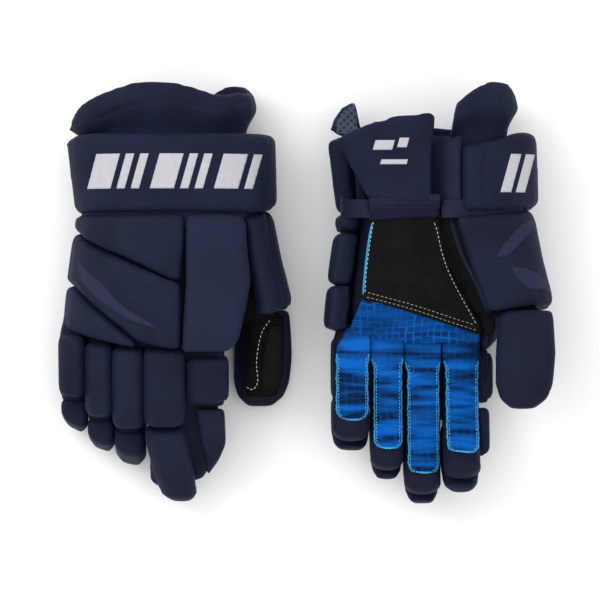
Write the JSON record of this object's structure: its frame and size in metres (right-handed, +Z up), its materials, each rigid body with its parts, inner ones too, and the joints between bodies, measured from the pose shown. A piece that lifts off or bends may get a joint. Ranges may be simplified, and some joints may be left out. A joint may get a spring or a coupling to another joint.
{
  "type": "hockey gloves",
  "caption": "Pair of navy ice hockey gloves, one lying palm down and one palm up, with hinged fingers, thumbs and cuffs.",
  "frame": {"origin": "middle of the floor under the pair", "axes": "+X from the right-hand glove to the left-hand glove, +Y from the fingertips to the cuffs, +Z up from the surface they lie on"},
  "size_m": [0.4162, 0.3574, 0.092],
  "materials": {
    "navy_twill": "matte",
    "navy_mesh": "matte",
    "navy_finger_fabric": "matte",
    "lining": "matte",
    "black_palm_leather": "satin",
    "blue_grip_leather": "satin",
    "black_gusset": "matte"
  },
  "bodies": {
    "right_hand": {"right_hand_liner": "lining", "right_heel_palm": "black_palm_leather", "right_grip_palm": "blue_grip_leather", "right_upper_back_roll": "navy_twill", "right_middle_back_roll": "navy_twill", "right_lower_back_roll": "navy_twill", "right_thumb_side_back_roll": "navy_mesh", "right_wrist_side_roll": "navy_twill"},
    "right_cuff": {"right_cuff_roll": "navy_twill", "right_cuff_insert": "navy_twill"},
    "right_flap": {"right_cuff_flap": "navy_twill"},
    "right_thumb": {"right_thumb_roll": "navy_twill", "right_thumb_sleeve": "black_gusset"},
    "right_little_base": {"right_little_base_roll": "navy_twill", "right_little_base_sleeve": "navy_finger_fabric"},
    "right_little_tip": {"right_little_tip_roll": "navy_twill", "right_little_tip_sleeve": "navy_finger_fabric"},
    "right_ring_base": {"right_ring_base_roll": "navy_twill", "right_ring_base_sleeve": "navy_finger_fabric"},
    "right_ring_tip": {"right_ring_tip_roll": "navy_twill", "right_ring_tip_sleeve": "navy_finger_fabric"},
    "right_middle_base": {"right_middle_base_roll": "navy_twill", "right_middle_base_sleeve": "navy_finger_fabric"},
    "right_middle_tip": {"right_middle_tip_roll": "navy_twill", "right_middle_tip_sleeve": "navy_finger_fabric"},
    "right_index_base": {"right_index_base_roll": "navy_twill", "right_index_base_sleeve": "navy_finger_fabric", "right_index_side_roll": "navy_twill"},
    "right_index_tip": {"right_index_tip_roll": "navy_twill", "right_index_tip_sleeve": "navy_finger_fabric"},
    "left_hand": {"left_hand_liner": "lining", "left_heel_palm": "black_palm_leather", "left_grip_palm": "blue_grip_leather", "left_upper_back_roll": "navy_twill", "left_middle_back_roll": "navy_twill", "left_lower_back_roll": "navy_twill", "left_thumb_side_back_roll": "navy_mesh", "left_wrist_side_roll": "navy_twill"},
    "left_cuff": {"left_cuff_roll": "navy_twill", "left_cuff_insert": "navy_twill"},
    "left_flap": {"left_cuff_flap": "navy_twill"},
    "left_thumb": {"left_thumb_roll": "navy_twill", "left_thumb_sleeve": "black_gusset"},
    "left_little_base": {"left_little_base_roll": "navy_twill", "left_little_base_sleeve": "navy_finger_fabric"},
    "left_little_tip": {"left_little_tip_roll": "navy_twill", "left_little_tip_sleeve": "navy_finger_fabric"},
    "left_ring_base": {"left_ring_base_roll": "navy_twill", "left_ring_base_sleeve": "navy_finger_fabric"},
    "left_ring_tip": {"left_ring_tip_roll": "navy_twill", "left_ring_tip_sleeve": "navy_finger_fabric"},
    "left_middle_base": {"left_middle_base_roll": "navy_twill", "left_middle_base_sleeve": "navy_finger_fabric"},
    "left_middle_tip": {"left_middle_tip_roll": "navy_twill", "left_middle_tip_sleeve": "navy_finger_fabric"},
    "left_index_base": {"left_index_base_roll": "navy_twill", "left_index_base_sleeve": "navy_finger_fabric", "left_index_side_roll": "navy_twill"},
    "left_index_tip": {"left_index_tip_roll": "navy_twill", "left_index_tip_sleeve": "navy_finger_fabric"}
  },
  "joints": [
    {"name": "right_cuff_hinge", "type": "hinge", "parent": "right_hand", "child": "right_cuff", "pos_m": [-0.11507, 0.06692, 0.092], "axis": [1, 0, 0], "range_deg": [0, 30]},
    {"name": "right_flap_hinge", "type": "hinge", "parent": "right_hand", "child": "right_flap", "pos_m": [-0.15507, 0.07542, 0], "axis": [-1, 0, 0], "range_deg": [0, 45]},
    {"name": "right_thumb_hinge", "type": "hinge", "parent": "right_hand", "child": "right_thumb", "pos_m": [-0.01207, -0.01528, 0.019], "axis": [0, 0, 1], "range_deg": [0, 18]},
    {"name": "right_little_knuckle", "type": "hinge", "parent": "right_hand", "child": "right_little_base", "pos_m": [-0.19707, -0.03808, 0.046], "axis": [1, 0, 0], "range_deg": [-12, 38]},
    {"name": "right_little_tip_joint", "type": "hinge", "parent": "right_little_base", "child": "right_little_tip", "pos_m": [-0.19707, -0.08112, 0.03685], "axis": [1, 0, 0], "range_deg": [-66, 10]},
    {"name": "right_ring_knuckle", "type": "hinge", "parent": "right_hand", "child": "right_ring_base", "pos_m": [-0.17417, -0.04458, 0.0515], "axis": [1, 0, 0], "range_deg": [-12, 36]},
    {"name": "right_ring_tip_joint", "type": "hinge", "parent": "right_ring_base", "child": "right_ring_tip", "pos_m": [-0.17417, -0.0974, 0.04027], "axis": [1, 0, 0], "range_deg": [-66, 10]},
    {"name": "right_middle_knuckle", "type": "hinge", "parent": "right_hand", "child": "right_middle_base", "pos_m": [-0.14942, -0.04858, 0.0565], "axis": [1, 0, 0], "range_deg": [-12, 38]},
    {"name": "right_middle_tip_joint", "type": "hinge", "parent": "right_middle_base", "child": "right_middle_tip", "pos_m": [-0.14942, -0.10727, 0.04403], "axis": [1, 0, 0], "range_deg": [-62, 14]},
    {"name": "right_index_knuckle", "type": "hinge", "parent": "right_hand", "child": "right_index_base", "pos_m": [-0.11892, -0.05008, 0.06], "axis": [1, 0, 0], "range_deg": [-11, 39]},
    {"name": "right_index_tip_joint", "type": "hinge", "parent": "right_index_base", "child": "right_index_tip", "pos_m": [-0.11892, -0.10603, 0.04912], "axis": [1, 0, 0], "range_deg": [-22, 54]},
    {"name": "left_glove_lift", "type": "slide", "parent": "right_hand", "child": "left_hand", "axis": [0, 0, 1], "range_m": [0, 0.15]},
    {"name": "left_cuff_hinge", "type": "hinge", "parent": "left_hand", "child": "left_cuff", "pos_m": [0.10493, 0.06692, 0], "axis": [-1, 0, 0], "range_deg": [0, 30]},
    {"name": "left_flap_hinge", "type": "hinge", "parent": "left_hand", "child": "left_flap", "pos_m": [0.06493, 0.07542, 0.092], "axis": [1, 0, 0], "range_deg": [0, 45]},
    {"name": "left_thumb_hinge", "type": "hinge", "parent": "left_hand", "child": "left_thumb", "pos_m": [0.20793, -0.01528, 0.073], "axis": [0, 0, 1], "range_deg": [0, 18]},
    {"name": "left_little_knuckle", "type": "hinge", "parent": "left_hand", "child": "left_little_base", "pos_m": [0.03693, -0.04308, 0.046], "axis": [-1, 0, 0], "range_deg": [-5, 45]},
    {"name": "left_little_tip_joint", "type": "hinge", "parent": "left_little_base", "child": "left_little_tip", "pos_m": [0.03693, -0.08791, 0.04992], "axis": [-1, 0, 0], "range_deg": [-9, 67]},
    {"name": "left_ring_knuckle", "type": "hinge", "parent": "left_hand", "child": "left_ring_base", "pos_m": [0.06758, -0.04708, 0.0405], "axis": [-1, 0, 0], "range_deg": [-5, 45]},
    {"name": "left_ring_tip_joint", "type": "hinge", "parent": "left_ring_base", "child": "left_ring_tip", "pos_m": [0.06758, -0.09888, 0.04503], "axis": [-1, 0, 0], "range_deg": [-9, 67]},
    {"name": "left_middle_knuckle", "type": "hinge", "parent": "left_hand", "child": "left_middle_base", "pos_m": [0.09758, -0.04988, 0.0355], "axis": [-1, 0, 0], "range_deg": [-5, 45]},
    {"name": "left_middle_tip_joint", "type": "hinge", "parent": "left_middle_base", "child": "left_middle_tip", "pos_m": [0.09758, -0.10965, 0.04073], "axis": [-1, 0, 0], "range_deg": [-9, 67]},
    {"name": "left_index_knuckle", "type": "hinge", "parent": "left_hand", "child": "left_index_base", "pos_m": [0.12983, -0.05008, 0.032], "axis": [-1, 0, 0], "range_deg": [-8, 40]},
    {"name": "left_index_tip_joint", "type": "hinge", "parent": "left_index_base", "child": "left_index_tip", "pos_m": [0.12983, -0.10652, 0.03993], "axis": [-1, 0, 0], "range_deg": [-24, 52]}
  ]
}
